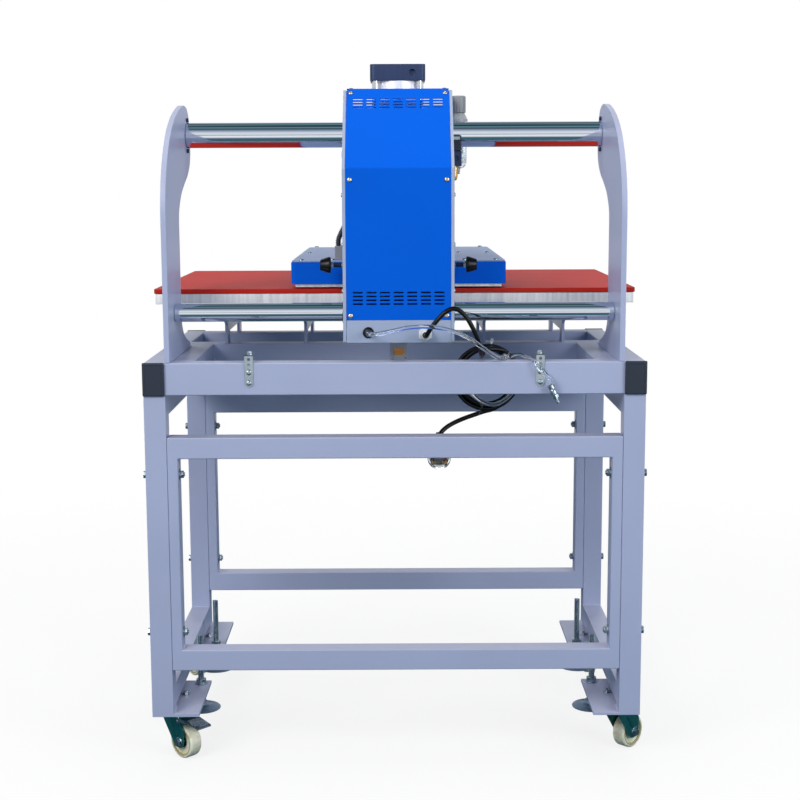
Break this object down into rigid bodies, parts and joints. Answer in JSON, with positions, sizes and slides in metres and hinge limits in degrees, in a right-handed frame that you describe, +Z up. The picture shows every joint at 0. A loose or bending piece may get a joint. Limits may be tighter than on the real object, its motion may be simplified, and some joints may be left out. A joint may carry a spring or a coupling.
{
  "type": "heat press",
  "caption": "Pneumatic heat press with a sliding head over two pad-topped platens, on a wheeled tube stand.",
  "frame": {"origin": "on the floor under the middle of the machine's outline, cords left out", "axes": "+Z up, +X along the slide shafts to the right as seen from the back, +Y from the back to the operator's side"},
  "size_m": [0.9669, 0.8324, 1.343],
  "materials": {
    "frame_paint": "satin light grey-blue powder coat",
    "blue_paint": "satin vivid blue powder coat",
    "bracket_paint": "satin grey powder coat",
    "chrome": "polished hard chrome",
    "aluminium": "machined",
    "silicone": "matte red silicone",
    "zinc": "zinc plated",
    "castor_zinc": "teal passivated zinc",
    "wheel_nylon": "cream nylon",
    "black_anodised": "black anodised",
    "black_plastic": "satin",
    "grey_plastic": "satin",
    "white_plastic": "satin",
    "red_plastic": "gloss",
    "green_plastic": "gloss",
    "black_rubber": "matte",
    "clear_plastic": "clear"
  },
  "bodies": {
    "frame": {"base_frame": "frame_paint", "end_frame_left": "frame_paint", "end_frame_right": "frame_paint", "rear_brace": "frame_paint", "front_brace": "frame_paint", "side_plate_left": "frame_paint", "side_plate_right": "frame_paint", "upper_shaft": "chrome", "lower_shaft": "chrome", "platen_support_left": "frame_paint", "platen_support_right": "frame_paint", "lower_platen_left": "aluminium", "lower_platen_right": "aluminium", "silicone_pad_left": "silicone", "silicone_pad_right": "silicone", "mains_cable": "black_rubber", "mains_coil": "black_rubber", "mains_tail": "black_rubber", "mains_plug": "clear_plastic", "air_hose": "clear_plastic", "hose_coupling": "zinc"},
    "carriage": {"carriage_frame": "bracket_paint", "rear_cover": "blue_paint", "connection_panel": "bracket_paint", "cable_gland": "white_plastic", "upper_bushing": "zinc", "lower_bushing": "zinc", "cylinder_top_cap": "black_anodised", "cylinder_barrel": "aluminium", "cylinder_bottom_cap": "black_anodised", "solenoid_valve": "black_plastic", "filter_regulator": "grey_plastic", "control_box": "blue_paint", "carriage_handle": "black_plastic", "stop_bumper_left": "black_rubber", "stop_bumper_right": "black_rubber", "station_sensor": "zinc"},
    "head": {"head_housing": "blue_paint", "head_lid": "bracket_paint", "heat_platen": "aluminium", "piston_rod": "chrome", "guide_post_left": "chrome", "guide_post_right": "chrome"},
    "knob": {"regulator_knob": "grey_plastic"},
    "stop_button": {"emergency_stop_button": "red_plastic"},
    "start_plunger": {"start_button": "green_plastic"},
    "castor_rear_left": {"castor_fork_rear_left": "castor_zinc"},
    "wheel_rear_left": {"castor_wheel_rear_left": "wheel_nylon"},
    "foot_rear_left": {"levelling_foot_rear_left": "zinc"},
    "castor_rear_right": {"castor_fork_rear_right": "castor_zinc"},
    "wheel_rear_right": {"castor_wheel_rear_right": "wheel_nylon"},
    "foot_rear_right": {"levelling_foot_rear_right": "zinc"},
    "castor_front_left": {"castor_fork_front_left": "castor_zinc"},
    "wheel_front_left": {"castor_wheel_front_left": "wheel_nylon"},
    "foot_front_left": {"levelling_foot_front_left": "zinc"},
    "castor_front_right": {"castor_fork_front_right": "castor_zinc"},
    "wheel_front_right": {"castor_wheel_front_right": "wheel_nylon"},
    "foot_front_right": {"levelling_foot_front_right": "zinc"},
    "brake_rear_left": {"brake_pedal_rear_left": "zinc"},
    "brake_front_right": {"brake_pedal_front_right": "zinc"}
  },
  "joints": [
    {"name": "carriage_slide", "type": "slide", "parent": "frame", "child": "carriage", "axis": [1, 0, 0], "range_m": [-0.272, 0.256]},
    {"name": "head_lift", "type": "slide", "parent": "carriage", "child": "head", "axis": [0, 0, 1], "range_m": [0, 0.075]},
    {"name": "regulator_turn", "type": "hinge", "parent": "carriage", "child": "knob", "pos_m": [0.1316, -0.01675, 1.2415], "axis": [0, 0, 1], "range_deg": [-150, 150]},
    {"name": "emergency_stop_push", "type": "slide", "parent": "carriage", "child": "stop_button", "axis": [1, 0, 0], "range_m": [0, 0.005]},
    {"name": "start_push", "type": "slide", "parent": "carriage", "child": "start_plunger", "axis": [0, -1, 0], "range_m": [0, 0.003], "stiffness_N_per_m": 400},
    {"name": "castor_swivel_rear_left", "type": "hinge", "parent": "frame", "child": "castor_rear_left", "pos_m": [-0.4325, -0.30975, 0.09], "axis": [0, 0, 1], "continuous": true},
    {"name": "wheel_roll_rear_left", "type": "hinge", "parent": "castor_rear_left", "child": "wheel_rear_left", "pos_m": [-0.40836, -0.33226, 0.0325], "axis": [0.682, 0.7314, 0], "continuous": true},
    {"name": "brake_press_rear_left", "type": "hinge", "parent": "castor_rear_left", "child": "brake_rear_left", "pos_m": [-0.41056, -0.33021, 0.0795], "axis": [0.682, 0.7314, 0], "range_deg": [0, 12]},
    {"name": "foot_screw_rear_left", "type": "slide", "parent": "frame", "child": "foot_rear_left", "axis": [0, 0, 1], "range_m": [-0.055, 0.02]},
    {"name": "castor_swivel_rear_right", "type": "hinge", "parent": "frame", "child": "castor_rear_right", "pos_m": [0.4325, -0.30975, 0.09], "axis": [0, 0, 1], "continuous": true},
    {"name": "wheel_roll_rear_right", "type": "hinge", "parent": "castor_rear_right", "child": "wheel_rear_right", "pos_m": [0.45583, -0.28641, 0.0325], "axis": [-0.7071, 0.7071, 0], "continuous": true},
    {"name": "foot_screw_rear_right", "type": "slide", "parent": "frame", "child": "foot_rear_right", "axis": [0, 0, 1], "range_m": [-0.055, 0.02]},
    {"name": "castor_swivel_front_left", "type": "hinge", "parent": "frame", "child": "castor_front_left", "pos_m": [-0.4325, 0.13425, 0.09], "axis": [0, 0, 1], "continuous": true},
    {"name": "wheel_roll_front_left", "type": "hinge", "parent": "castor_front_left", "child": "wheel_front_left", "pos_m": [-0.4519, 0.16095, 0.0325], "axis": [-0.809, -0.5878, 0], "continuous": true},
    {"name": "foot_screw_front_left", "type": "slide", "parent": "frame", "child": "foot_front_left", "axis": [0, 0, 1], "range_m": [-0.055, 0.02]},
    {"name": "castor_swivel_front_right", "type": "hinge", "parent": "frame", "child": "castor_front_right", "pos_m": [0.4325, 0.13425, 0.09], "axis": [0, 0, 1], "continuous": true},
    {"name": "wheel_roll_front_right", "type": "hinge", "parent": "castor_front_right", "child": "wheel_front_right", "pos_m": [0.43823, 0.16675, 0.0325], "axis": [-0.9848, 0.1736, 0], "continuous": true},
    {"name": "brake_press_front_right", "type": "hinge", "parent": "castor_front_right", "child": "brake_front_right", "pos_m": [0.43771, 0.16379, 0.0795], "axis": [-0.9848, 0.1736, 0], "range_deg": [0, 12]},
    {"name": "foot_screw_front_right", "type": "slide", "parent": "frame", "child": "foot_front_right", "axis": [0, 0, 1], "range_m": [-0.055, 0.02]}
  ]
}
